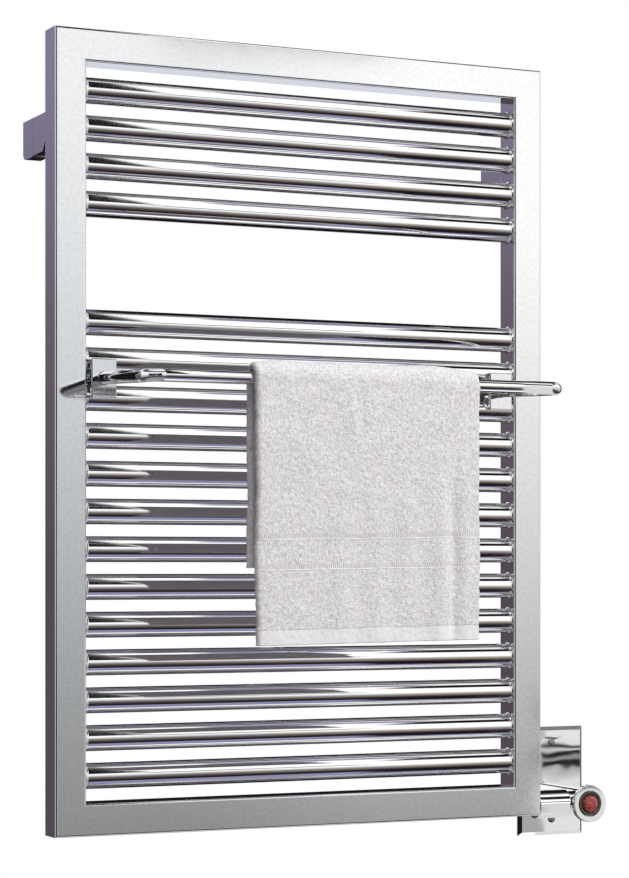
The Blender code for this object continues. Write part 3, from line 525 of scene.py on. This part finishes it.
def terry():
    """White cotton loops with two woven ribs, the ticks above them and a flat hem.

    The fabric's hem_distance attribute is the distance in millimetres from its nearest hem.
    """
    material, graph, shader, place = start_material("white_terry")
    fall = graph.add("ShaderNodeAttribute", {"attribute_name": "hem_distance"}).outputs["Fac"]
    across = graph.add("ShaderNodeAttribute", {"attribute_name": "thread_distance"}).outputs["Fac"]
    tufts = graph.add("ShaderNodeTexVoronoi", Vector=place, Scale=780.0, Randomness=0.95)
    clumps = graph.add("ShaderNodeTexNoise", Vector=place, Scale=430.0, Detail=5.0, Roughness=0.7)
    tint = graph.add("ShaderNodeTexNoise", Vector=place, Scale=55.0, Detail=3.0)
    # Painted shade: the white pile is darker where it lies low between the loops.
    hollow = graph.scaled(clumps.outputs[0], 0.32, 0.6, 0, 1)
    loop_tone_with_painted_shade = graph.blend(hollow, (0.59, 0.58, 0.58, 1), (0.95, 0.945, 0.94, 1))
    warm = graph.blend(tint.outputs[0], (0.94, 0.95, 1.0, 1), (1.0, 0.98, 0.94, 1))
    multiply = {"data_type": "RGBA", "blend_type": "MULTIPLY"}
    mixed = graph.add("ShaderNodeMix", multiply, i0=1.0, i6=loop_tone_with_painted_shade, i7=warm)

    threads = graph.math("SINE", graph.times(across, 2 * math.pi / TICK_PITCH))
    ticks = graph.scaled(threads, -0.3, 0.5, 0, 1)
    ribs = 0.0
    rows = 0.0
    sway = graph.add("ShaderNodeTexNoise", Vector=place, Scale=26.0, Detail=2.0)
    fall = graph.plus(fall, graph.times(graph.minus(sway.outputs[0], 0.5), 3.0))
    seam = window(graph, fall, HEM_TALL, HEM_TALL + 1.0, 0.4)
    for start in RIB_PLACES:
        ribs = graph.plus(window(graph, fall, start - 0.5, start + 0.5, 0.5), ribs)
        rows = graph.plus(window(graph, fall, start + 1.0, start + TICK_ROW, 0.5), rows)
    flat = graph.step(fall, HEM_TALL + 0.3, HEM_TALL - 0.3)
    # Painted shade: the low threads between the raised ticks are darker.
    tick_tone_with_painted_shade = graph.blend(ticks, (0.60, 0.57, 0.60, 1), (0.88, 0.87, 0.88, 1))
    hem_tone = graph.blend(tint.outputs[0], (0.84, 0.83, 0.84, 1), (0.91, 0.90, 0.91, 1))
    colour = graph.blend(graph.times(rows, 0.6), mixed.outputs[2], tick_tone_with_painted_shade)
    colour = graph.blend(graph.times(ribs, 0.55), colour, (0.93, 0.92, 0.93, 1))
    colour = graph.blend(graph.times(flat, 0.75), colour, hem_tone)
    # Painted shade along the seam's groove, which the bump also sinks.
    colour = graph.blend(graph.times(seam, 0.3), colour, (0.6, 0.57, 0.6, 1))
    graph.feed(shader, "Base Color", colour)
    graph.feed(shader, "Roughness", graph.scaled(clumps.outputs[0], 0.3, 0.7, 0.88, 1.0))
    graph.feed(shader, "Sheen Weight", 0.25)
    graph.feed(shader, "Sheen Roughness", 0.5)
    graph.feed(shader, "Subsurface Weight", 0.05)
    graph.feed(shader, "Subsurface Radius", (0.002, 0.002, 0.002))

    loops = graph.plus(graph.times(tufts.outputs[0], -0.6), clumps.outputs[0])
    smooth = graph.math("MINIMUM", graph.plus(flat, graph.plus(ribs, rows)), 1.0)
    loops = graph.times(loops, graph.minus(1.0, graph.times(smooth, 0.8)))
    raised = graph.plus(graph.times(ribs, 0.6), graph.times(graph.times(rows, ticks), 0.5))
    height = graph.plus(loops, graph.minus(raised, graph.times(seam, 0.3)))
    bump(graph, shader, height, 0.7, 0.0012)
    return material


# Shapes ---------------------------------------------------------------------------------------


def mesh_from(name, shape, sharp=32):
    bmesh.ops.recalc_face_normals(shape, faces=shape.faces)
    mesh = bpy.data.meshes.new(name)
    shape.to_mesh(mesh)
    shape.free()
    mesh.shade_smooth()
    mesh.set_sharp_from_angle(angle=math.radians(sharp))
    return mesh


def join_rings(shape, first, second):
    count = max(len(first), len(second))
    for this in range(count):
        following = (this + 1) % count
        corners = [
            first[this % len(first)],
            first[following % len(first)],
            second[following % len(second)],
            second[this % len(second)],
        ]
        shape.faces.new(list(dict.fromkeys(corners)))


def circle(radius, sides):
    turn = 2 * math.pi / sides
    return [(radius * math.cos(turn * i), radius * math.sin(turn * i)) for i in range(sides)]


def turned(name, axis, centre, profile, sides=TUBE_SIDES):
    """A solid turned about an axis through centre from (radius, distance) pairs.

    Along "x" the distance is X. Along "y" it is the distance into the room.
    """
    shape = bmesh.new()
    rings = []
    for radius, distance in profile:
        points = circle(radius, sides) if radius > 0 else [(0, 0)]
        if axis == "x":
            ring = [(distance, centre[1] + a, centre[2] + b) for a, b in points]
        else:
            ring = [(centre[0] + a, -distance, centre[2] + b) for a, b in points]
        rings.append([shape.verts.new(point) for point in ring])
    for first, second in zip(rings, rings[1:]):
        join_rings(shape, first, second)
    if profile[0][0] > 0:
        join_rings(shape, rings[-1], rings[0])
    return mesh_from(name, shape)


def rounded(corner, radius, start, steps=5):
    """Profile points round a quarter circle that starts at an angle in degrees."""
    angles = [math.radians(start + 90 * i / steps) for i in range(steps + 1)]
    return [(corner[0] + radius * math.cos(a), corner[1] + radius * math.sin(a)) for a in angles]


def piece(name, mesh, material, replaced, body="root", even_normals=False):
    """A shown piece that stands for CAD nodes and rides on a body."""
    thing = bpy.data.objects.new(name, mesh)
    bpy.context.scene.collection.objects.link(thing)
    mesh.name = name
    mesh.materials.clear()
    mesh.materials.append(material)
    if even_normals:
        add_even_normals(thing)
    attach(thing, body)
    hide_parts(*replaced)
    return thing


def add_even_normals(thing):
    modifier = thing.modifiers.new("even_normals", "WEIGHTED_NORMAL")
    modifier.keep_sharp = True


def add_bevel(thing, width, segments):
    modifier = thing.modifiers.new("edges", "BEVEL")
    modifier.width = width
    modifier.segments = segments
    modifier.limit_method = "ANGLE"
    modifier.angle_limit = math.radians(30)
    modifier.miter_outer = "MITER_ARC"
    modifier.harden_normals = False


def evaluated_mesh(thing):
    graph = bpy.context.evaluated_depsgraph_get()
    return bpy.data.meshes.new_from_object(thing.evaluated_get(graph))


def carve(base, tools):
    """The mesh of base after Booleans with (operation, mesh) pairs."""
    scene = bpy.context.scene
    thing = bpy.data.objects.new("carved", base)
    scene.collection.objects.link(thing)
    helpers = []
    for operation, mesh in tools:
        helper = bpy.data.objects.new("cutter", mesh)
        scene.collection.objects.link(helper)
        helpers.append(helper)
        modifier = thing.modifiers.new(operation, "BOOLEAN")
        modifier.operation = operation
        modifier.solver = "EXACT"
        modifier.object = helper
    mesh = evaluated_mesh(thing)
    for helper in [thing, *helpers]:
        bpy.data.objects.remove(helper, do_unlink=True)
    mesh.shade_smooth()
    mesh.set_sharp_from_angle(angle=math.radians(32))
    return mesh


def cad_mesh(node):
    """A CAD node's mesh with its flat faces in one piece again."""
    shape = bmesh.new()
    shape.from_mesh(NODES[node].data)
    bmesh.ops.remove_doubles(shape, verts=shape.verts, dist=0.004 * MM)
    bmesh.ops.dissolve_limit(
        shape, angle_limit=math.radians(1), verts=shape.verts, edges=shape.edges
    )
    return mesh_from(node, shape)


def refined(node, width, material, segments=3):
    """A CAD node's shape with rounded edges."""
    thing = piece(f"{node}_finished", cad_mesh(node), material, [node])
    add_bevel(thing, width, segments)
    add_even_normals(thing)


def middle(node):
    low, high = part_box(node)
    return (low + high) / 2


# The frame and the tubes ----------------------------------------------------------------------


def section_outline(half, radius, steps=6):
    inner = half - radius
    outline = []
    corners = [(inner, inner), (-inner, inner), (-inner, -inner), (inner, -inner)]
    for number, corner in enumerate(corners):
        outline += rounded(corner, radius, number * 90, steps)
    return outline


def make_member(node, along, outwards, material):
    """A mitred length of square tube. along and outwards are world directions."""
    low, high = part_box(node)
    centre = (low + high) / 2
    along, outwards = Vector(along), Vector(outwards)
    length = abs((high - low).dot(along))
    across = along.cross(outwards)
    half = SECTION / 2
    outer = section_outline(half, SECTION_RADIUS)
    inner = section_outline(half - SECTION_WALL, SECTION_RADIUS - SECTION_WALL)
    shape = bmesh.new()
    rings = []
    # The box of a member stops half a gap short of the corner at each end.
    reach = round(length / 2 / MM) * MM
    for outline, side in ((outer, -1), (outer, 1), (inner, 1), (inner, -1)):
        ring = []
        for a, b in outline:
            end = reach - (half - b)
            ring.append(shape.verts.new(centre + along * side * end + across * a + outwards * b))
        rings.append(ring)
    for first, second in zip(rings, rings[1:] + rings[:1]):
        join_rings(shape, first, second)
    mesh = mesh_from(node, shape)
    piece(f"{node}_finished", mesh, material, [node], even_normals=True)


def make_frame(material):
    make_member("upright_left", (0, 0, 1), (-1, 0, 0), material)
    make_member("upright_right", (0, 0, 1), (1, 0, 0), material)
    make_member("rail_top", (1, 0, 0), (0, 0, 1), material)
    make_member("rail_bottom", (1, 0, 0), (0, 0, -1), material)


def make_tubes(material):
    """Each tube with the small weld fillets where it enters the uprights."""
    inner_face = -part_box("upright_left")[0].x - SECTION
    for number in range(1, TUBES + 1):
        node = f"tube_{number:02d}"
        low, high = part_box(node)
        centre = (low + high) / 2
        radius = (high.z - low.z) / 2
        profile = [(radius - TUBE_WALL, low.x), (radius, low.x), (radius, -inner_face)]
        profile += [(r * MM, -inner_face + x * MM) for r, x in WELD_FILLET]
        profile += [(radius, -inner_face + WELD_END)]
        profile += [(r, -x) for r, x in reversed(profile)]
        mesh = turned(node, "x", centre, profile)
        piece(f"{node}_finished", mesh, material, [node], even_normals=True)


def make_bar(material):
    """The round bar: its legs leave their seats level and slope down to the straight part."""
    low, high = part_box("towel_bar")
    seat_level = middle("bar_clamp_left_front").z
    level = low.z + BAR_RADIUS
    half_span = high.x - BAR_RADIUS
    front = low.y + BAR_RADIUS
    seat = high.y
    level_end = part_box("upright_left")[0].y - BAR_LEVEL_START
    bend_x, bend_y = half_span - BAR_BEND, front + BAR_BEND
    points = [(-half_span, seat, seat_level), (-half_span, level_end + 1.5 * MM, seat_level)]
    steps = 10
    for i in range(steps):
        share = i / steps
        y = level_end + (bend_y - level_end) * share
        points.append((-half_span, y, seat_level + (level - seat_level) * share))
    steps = 16
    quarter = [math.radians(180 + 90 * i / steps) for i in range(steps + 1)]
    for a in quarter:
        points.append((-bend_x + BAR_BEND * math.cos(a), bend_y + BAR_BEND * math.sin(a), level))
    half = list(points)
    steps = 12
    points += [(-bend_x + 2 * bend_x * i / steps, front, level) for i in range(1, steps)]
    points += [(-x, y, z) for x, y, z in reversed(half)]
    path = [Vector(point) for point in points]
    shape = bmesh.new()
    rings = []
    for i, point in enumerate(path):
        forward = (path[min(i + 1, len(path) - 1)] - path[max(i - 1, 0)]).normalized()
        side = forward.cross(Vector((0, 0, 1))).normalized()
        top = side.cross(forward)
        ring = [point + side * a + top * b for a, b in circle(BAR_RADIUS, BAR_SIDES)]
        rings.append([shape.verts.new(corner) for corner in ring])
    for first, second in zip(rings, rings[1:]):
        join_rings(shape, first, second)
    shape.faces.new(rings[0])
    shape.faces.new(rings[-1])
    piece("towel_bar_finished", mesh_from("bar", shape), material, ["towel_bar"])


# The towel ------------------------------------------------------------------------------------


def drape_grid(columns, rows):
    """The towel's middle surface as a grid of points: rows run from the front hem over the bar."""
    low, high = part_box("towel")
    bar_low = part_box("towel_bar")[0]
    centre_y = bar_low.y + BAR_RADIUS
    centre_z = bar_low.z + BAR_RADIUS
    tall = (high.z - centre_z) - DRAPE_INSET
    deep = DRAPE_DEPTH
    front = centre_z - low.z
    bend = math.pi * math.sqrt((tall**2 + deep**2) / 2)
    back = TOWEL_FLAT[1] - front - bend
    grid = []
    for row in range(rows + 1):
        along = (front + bend + back) * row / rows
        if along < front:
            y, z, drop = centre_y - deep, low.z + along, front - along
        elif along < front + bend:
            a = math.pi * (along - front) / bend
            y, z, drop = centre_y - deep * math.cos(a), centre_z + tall * math.sin(a), 0
        else:
            drop = along - front - bend
            y, z = centre_y + deep, centre_z - drop
        line = []
        for column in range(columns + 1):
            share = column / columns
            x = low.x + (high.x - low.x) * share
            over_bar = max(0, z - centre_z) / tall
            sag = over_bar * (1.5 * dip(share, 0, 0.04) + 4 * dip(1 - share, 0, 0.09))
            line.append(Vector((x, y, z - sag * MM)) + fold_offset(share, drop, along < front))
        grid.append(line)
    return grid


def fold_offset(share, drop, in_front):
    """Soft folds that start under the bar and open towards the hem, with a crease and a dent.

    share is the place across the towel from 0 to 1 and drop the metres below the bar's centre.
    The depths are in millimetres.
    """
    opened = min(1, drop / 0.16)
    opened = opened * opened * (3 - 2 * opened)
    broad = 1.5 * math.sin(2 * math.pi * (1.35 * share + 0.1))
    narrow = 0.8 * math.sin(2 * math.pi * 2.6 * share + 1.1)
    wave = broad + narrow
    crease = -4.5 * dip(share, 0.88, 0.035) * min(1, max(0, (drop - 0.06) / 0.09))
    dent = -2.2 * dip(share, 0.45, 0.03) * dip(drop, 0.03, 0.03)
    flare = -1.6 * math.sin(math.pi * share) * opened
    side_wave = 0.9 * math.sin(drop / 0.021) * (2 * share - 1) * opened
    hem_slope = 3.5 * (share - 0.5) * opened if in_front else 0
    sign = -1 if in_front else 1
    return MM * Vector((side_wave, sign * (opened * wave + crease + dent + flare), hem_slope))


def dip(value, place, width):
    """1 at a place, and less and less away from it."""
    return math.exp(-(((value - place) / width) ** 2))


def add_grid_faces(shape, lines):
    """A four-sided face between each two neighbours of two lines of vertices."""
    for first, second in zip(lines, lines[1:]):
        for c in range(len(first) - 1):
            shape.faces.new([first[c], first[c + 1], second[c + 1], second[c]])


def simulated(grid):
    """The grid after it has hung from the bar for a while as cloth."""
    scene = bpy.context.scene
    rows, columns = len(grid) - 1, len(grid[0]) - 1
    shape = bmesh.new()
    add_grid_faces(shape, [[shape.verts.new(point) for point in line] for line in grid])
    mesh = bpy.data.meshes.new("hanging")
    shape.to_mesh(mesh)
    shape.free()
    thing = bpy.data.objects.new("hanging", mesh)
    scene.collection.objects.link(thing)
    centre_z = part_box("towel_bar")[0].z + BAR_RADIUS
    held = thing.vertex_groups.new(name="held")
    grip = [v.index for v in mesh.vertices if v.co.z > centre_z - MM]
    held.add(grip, 1.0, "REPLACE")
    modifier = thing.modifiers.new("cloth", "CLOTH")
    settings = modifier.settings
    settings.quality = 7
    settings.mass = 0.5
    settings.tension_stiffness = 25
    settings.compression_stiffness = 25
    settings.shear_stiffness = 12
    settings.bending_stiffness = 3.5
    settings.air_damping = 2
    settings.vertex_group_mass = "held"
    modifier.point_cache.frame_start = 1
    modifier.point_cache.frame_end = SIM_FRAMES
    scene.frame_start, scene.frame_end = 1, SIM_FRAMES
    for number in range(1, SIM_FRAMES + 1):
        scene.frame_set(number)
    hung = evaluated_mesh(thing)
    points = [v.co.copy() for v in hung.vertices]
    bpy.data.objects.remove(thing, do_unlink=True)
    scene.frame_set(1)
    wide = columns + 1
    return [points[r * wide : (r + 1) * wide] for r in range(rows + 1)]


def spline(before, start, end, after, share):
    """A point on the smooth curve from start to end."""
    a = 2 * start
    b = end - before
    c = 2 * before - 5 * start + 4 * end - after
    d = 3 * start - before - 3 * end + after
    return 0.5 * (a + b * share + c * share**2 + d * share**3)


def resampled(line, count):
    """count + 1 points spread evenly along a line of points."""
    last = len(line) - 1
    result = []
    for i in range(count + 1):
        place = last * i / count
        first = min(int(place), last - 1)
        four = [line[max(0, min(last, first + k))] for k in (-1, 0, 1, 2)]
        result.append(spline(*four, place - first))
    return result


def ruffled(point, normal, sideways):
    """How far the uneven pile pushes a point of the fabric out of its smooth surface."""
    clumps = noise.noise(point * 260)
    swell = noise.noise(point * 38)
    edge = noise.noise(point * 190 + Vector((5, 5, 5)))
    return MM * (normal * (0.45 * clumps + 0.9 * swell) + sideways * 0.9 * edge)


def make_towel(material):
    """The towel, folded once along its length at its left side and hung over the bar."""
    grid = drape_grid(*HANGING_GRID)
    grid = simulated(grid)
    columns, rows = SHOWN_GRID
    grid = [resampled(line, columns) for line in grid]
    turned_grid = [resampled([line[c] for line in grid], rows) for c in range(columns + 1)]

    shape = bmesh.new()
    corners = []
    hem_distances = []
    thread_distances = []
    width, length = TOWEL_FLAT[0] / 2 / MM, TOWEL_FLAT[1] / MM
    for r in range(rows + 1):
        near_hem = length * min(r, rows - r) / rows
        outside, inside = [], []
        for c in range(columns + 1):
            point = turned_grid[c][r]
            along = turned_grid[c][min(r + 1, rows)] - turned_grid[c][max(r - 1, 0)]
            sideways = turned_grid[min(c + 1, columns)][r] - turned_grid[max(c - 1, 0)][r]
            normal = sideways.cross(along).normalized()
            point = point + ruffled(point, normal, sideways.normalized())
            outside.append((point + normal * LAYER_OFFSET, width * c / columns))
            inside.append((point - normal * LAYER_OFFSET, -width * c / columns))
            if c == 0:
                edge = (point, normal, sideways.normalized())
        point, normal, sideways = edge
        wrap = []
        for k in range(1, FOLD_STEPS):
            a = math.pi * k / FOLD_STEPS
            outwards = normal * math.cos(a) - sideways * math.sin(a)
            wrap.append((point + LAYER_OFFSET * outwards, 0.0))
        line = []
        for place, thread in list(reversed(outside)) + wrap + inside:
            line.append(shape.verts.new(place))
            hem_distances.append(near_hem)
            thread_distances.append(thread)
        corners.append(line)
    add_grid_faces(shape, corners)
    bmesh.ops.recalc_face_normals(shape, faces=shape.faces)
    mesh = bpy.data.meshes.new("towel")
    shape.to_mesh(mesh)
    shape.free()
    mesh.shade_smooth()
    for name, values in (("hem_distance", hem_distances), ("thread_distance", thread_distances)):
        attribute = mesh.attributes.new(name, "FLOAT", "POINT")
        attribute.data.foreach_set("value", values)
    thing = piece("folded_towel", mesh, material, ["towel"], "towel")

    thick = thing.modifiers.new("thickness", "SOLIDIFY")
    thick.thickness = LAYER_THICK
    thick.offset = 0
    thick.use_even_offset = False


# Brackets, clamps and the switch unit ---------------------------------------------------------


def slotted_screw(node, material):
    """An oval-headed slotted screw with its shank, along Y."""
    centre = middle(node)
    low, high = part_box(node)
    radius = (high.z - low.z) / 2
    head_front = -low.y
    head_back = head_front - SCREW_HEAD
    shank = 0.45 * radius
    dome = 0.55 * (head_front - head_back)
    profile = [(0, head_front)]
    for i in range(1, 8):
        a = math.radians(90 * i / 8)
        profile.append((radius * math.sin(a), head_front - dome * (1 - math.cos(a))))
    profile += [(radius, head_front - dome - 0.1 * MM), (0.97 * radius, head_back)]
    profile += [(shank, head_back), (shank, -high.y), (0, -high.y)]
    base = turned(node, "y", centre, profile, 40)
    depth = 0.5 * (head_front - head_back)
    groove = block(
        (centre.x - 2 * radius, -head_front - MM, centre.z - SCREW_SLOT / 2),
        (centre.x + 2 * radius, -head_front + depth, centre.z + SCREW_SLOT / 2),
    )
    mesh = carve(base, [("DIFFERENCE", groove)])
    piece(f"{node}_finished", mesh, material, [node], even_normals=True)


def block(low, high):
    shape = bmesh.new()
    rings = []
    for z in (low[2], high[2]):
        corners = [(low[0], low[1]), (high[0], low[1]), (high[0], high[1]), (low[0], high[1])]
        rings.append([shape.verts.new((x, y, z)) for x, y in corners])
    join_rings(shape, *rings)
    for ring in rings:
        shape.faces.new(ring)
    return mesh_from("block", shape)


def make_fixings(satin):
    for side in ("left", "right"):
        refined(f"bracket_{side}_wall_base", 0.8 * MM, satin)
        refined(f"bracket_{side}_post", 0.8 * MM, satin)
        refined(f"bar_clamp_{side}_front", 0.9 * MM, satin, 4)
        refined(f"bar_clamp_{side}_back", 0.9 * MM, satin)
    refined("lower_bracket_base", 0.7 * MM, satin)
    refined("lower_bracket_clamp", 0.9 * MM, satin)


def make_connection(chrome):
    """The connecting tube, and the plain sleeve over it."""
    centre = middle("connecting_tube")
    low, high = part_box("connecting_tube")
    outer = (high.z - low.z) / 2
    bore = outer - CONNECTOR_WALL
    profile = [(outer, low.x), (outer, high.x), (bore, high.x), (bore, low.x)]
    mesh = turned("connector", "x", centre, profile)
    piece("connecting_tube_finished", mesh, chrome, ["connecting_tube"])
    low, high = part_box("cover_sleeve")
    radius = (high.z - low.z) / 2
    bore = outer + GAP
    edge = 0.5 * MM
    profile = [(bore, low.x)]
    for a in quarter_turn():
        profile.append((radius - edge + edge * math.sin(a), low.x + edge - edge * math.cos(a)))
    profile += soft_corner(radius, high.x, edge)
    profile += [(bore, high.x)]
    mesh = turned("sleeve", "x", centre, profile)
    piece("cover_sleeve_finished", mesh, chrome, ["cover_sleeve"], even_normals=True)


def quarter_turn(steps=6):
    return [math.pi / 2 * i / steps for i in range(steps + 1)]


def soft_corner(radius, end, soft, steps=6):
    """Profile points round the rounded corner where a side at radius meets an end face."""
    turn = quarter_turn(steps)
    return [(radius - soft + soft * math.cos(a), end - soft + soft * math.sin(a)) for a in turn]


def make_tee(chrome):
    low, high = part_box("tee_body")
    lens = middle("button_lens")
    centre = Vector((lens.x, 0, lens.z))
    radius = high.z - centre.z
    start, front = -high.y, -low.y
    branch_y = middle("connecting_tube").y
    edge = 0.6 * MM
    profile = [(0, start), (radius, start)]
    profile += soft_corner(radius, front, edge, 4)
    profile += [(0, front)]
    barrel = turned("tee", "y", centre, profile, 72)
    branch_centre = Vector((0, branch_y, centre.z))
    branch_rod = solid_rod(BRANCH_RADIUS, low.x, centre.x - 2 * MM)
    branch = turned("branch", "x", branch_centre, branch_rod, 56)
    bore = turned("bore", "y", centre, solid_rod(TEE_BORE, -MM, front + MM), 56)
    side_rod = solid_rod(BRANCH_BORE, low.x - MM, centre.x - MM)
    side_bore = turned("side_bore", "x", branch_centre, side_rod, 48)
    mesh = carve(barrel, [("UNION", branch), ("DIFFERENCE", bore), ("DIFFERENCE", side_bore)])
    piece("tee_body_finished", mesh, chrome, ["tee_body"], even_normals=True)


def solid_rod(radius, start, end):
    return [(0, start), (radius, start), (radius, end), (0, end)]


def make_switch(chrome, dark, red):
    centre = middle("button_lens")
    low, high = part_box("end_ring")
    front = -low.y
    face = front - RING_THICK
    floor = face + RING_FLOOR
    radius = (high.z - low.z) / 2
    soft = 0.9 * MM
    spigot = TEE_BORE - GAP
    profile = [(RING_HOLE, -high.y), (spigot, -high.y), (spigot, face + GAP)]
    profile += [(radius - 0.5 * MM, face + GAP), (radius, face + 0.8 * MM)]
    profile += soft_corner(radius, front, soft)
    profile += [(RING_RECESS + 0.4 * MM, front), (RING_RECESS, front - 0.4 * MM)]
    profile += [(RING_RECESS, floor), (RING_HOLE, floor)]
    mesh = turned("ring", "y", centre, profile, 80)
    piece("end_ring_finished", mesh, chrome, ["end_ring"], even_normals=True)

    low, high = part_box("bezel")
    back, lip = -high.y, -low.y
    floor += 0.4 * MM
    profile = [(BUTTON_HOLE, back), (BEZEL_SLEEVE, back), (BEZEL_SLEEVE, floor), (BEZEL_RIM, floor)]
    profile += soft_corner(BEZEL_RIM, lip, soft)
    dish = [(1.8, 0.15), (2.7, 0.6), (3.5, 1.1), (4.1, 1.3), (4.4, 1.5)]
    profile += [(BEZEL_RIM - inset * MM, lip - drop * MM) for inset, drop in dish]
    mesh = turned("bezel_turned", "y", centre, profile, 64)
    piece("bezel_finished", mesh, dark, ["bezel"])

    low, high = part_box("button_lens")
    top = -low.y
    step = back - GAP
    dome = 2.7 * MM
    profile = [(0, -high.y), (BUTTON_FLANGE, -high.y), (BUTTON_FLANGE, step), (BUTTON_RADIUS, step)]
    for a in quarter_turn(10)[:-1]:
        profile.append((BUTTON_RADIUS * math.cos(a), top - dome + dome * math.sin(a)))
    profile.append((0, top))
    lens = turned("lens", "y", centre, profile, 56)
    piece("button_lens_finished", lens, red, ["button_lens"], "power_button")


def main():
    scene = prepare_scene()
    make_camera(scene)
    make_world(scene)
    make_stage(scene)

    chrome = plated("bright_chrome", grey(0.95), grey(0.91), 0.03, 0.06, 120.0, 22.0)
    satin = plated(
        "frame_chrome", grey(0.87, -0.01), grey(0.78, -0.01), 0.03, 0.07, 240.0, 260.0, 0.02, 0.015
    )
    sheet = plated("pressed_chrome", grey(0.95), grey(0.91), 0.01, 0.02, 120.0, 22.0, 0.02)
    # The screw heads' metal is darker than nickel: painted shade standing in for the shadow round
    # the heads in their countersinks, over the metal's own grey.
    head = plated(
        "screw_metal_darkened_as_shade", (0.36, 0.35, 0.35), (0.22, 0.215, 0.21), 0.1, 0.2, 300.0, 200.0, scratch=0.1
    )
    steel = plated(
        "zinc_steel", (0.72, 0.72, 0.70), (0.58, 0.59, 0.57), 0.22, 0.42, 400.0, 60.0, scratch=0.08
    )
    brass = plated(
        "brass", (0.80, 0.61, 0.29), (0.66, 0.47, 0.20), 0.2, 0.4, 300.0, 60.0, scratch=0.08
    )
    dark = plastic("dark_bezel", (0.075, 0.065, 0.04), (0.035, 0.03, 0.02), 0.16, 700.0, 0.04, 0.5)
    white = plastic("white_plastic", (0.80, 0.79, 0.75), (0.72, 0.71, 0.67), 0.45)
    silicone = plastic("silicone_lead", (0.56, 0.10, 0.07), (0.42, 0.06, 0.04), 0.55, 1500.0, 0.15)
    lamp = plastic("lamp_glass", (0.95, 0.58, 0.42), (0.85, 0.42, 0.3), 0.12, 600.0, 0.05, 0.6)
    red = lens_red()
    gasket = foam()
    cotton = terry()

    make_frame(satin)
    make_tubes(chrome)
    make_bar(chrome)
    make_towel(cotton)
    make_fixings(satin)
    make_connection(chrome)
    make_tee(chrome)
    make_switch(chrome, dark, red)
    refined("wall_plate", 0.5 * MM, sheet)
    for end in ("upper", "lower"):
        slotted_screw(f"plate_screw_{end}", head)

    kept = {
        steel: [
            "heating_element", "button_spring", "tee_set_screw", "bar_clamp_left_screw",
            "bar_clamp_right_screw", "bracket_left_wall_screw", "bracket_right_wall_screw",
            "bracket_left_grub_screw", "bracket_right_grub_screw", "lower_bracket_screw",
            "lower_bracket_wall_screw",
        ],
        brass: ["filler_plug", "element_fitting"],
        dark: ["switch_housing"],
        white: ["thermal_cutout"],
        silicone: ["element_lead"],
        lamp: ["indicator_lamp"],
        # The black gasket also stands in for the shadow gap behind the plate: painted shade.
        gasket: ["plate_gasket"],
    }
    for material, names in kept.items():
        for name in names:
            NODES[name].data.materials.clear()
            NODES[name].data.materials.append(material)


main()
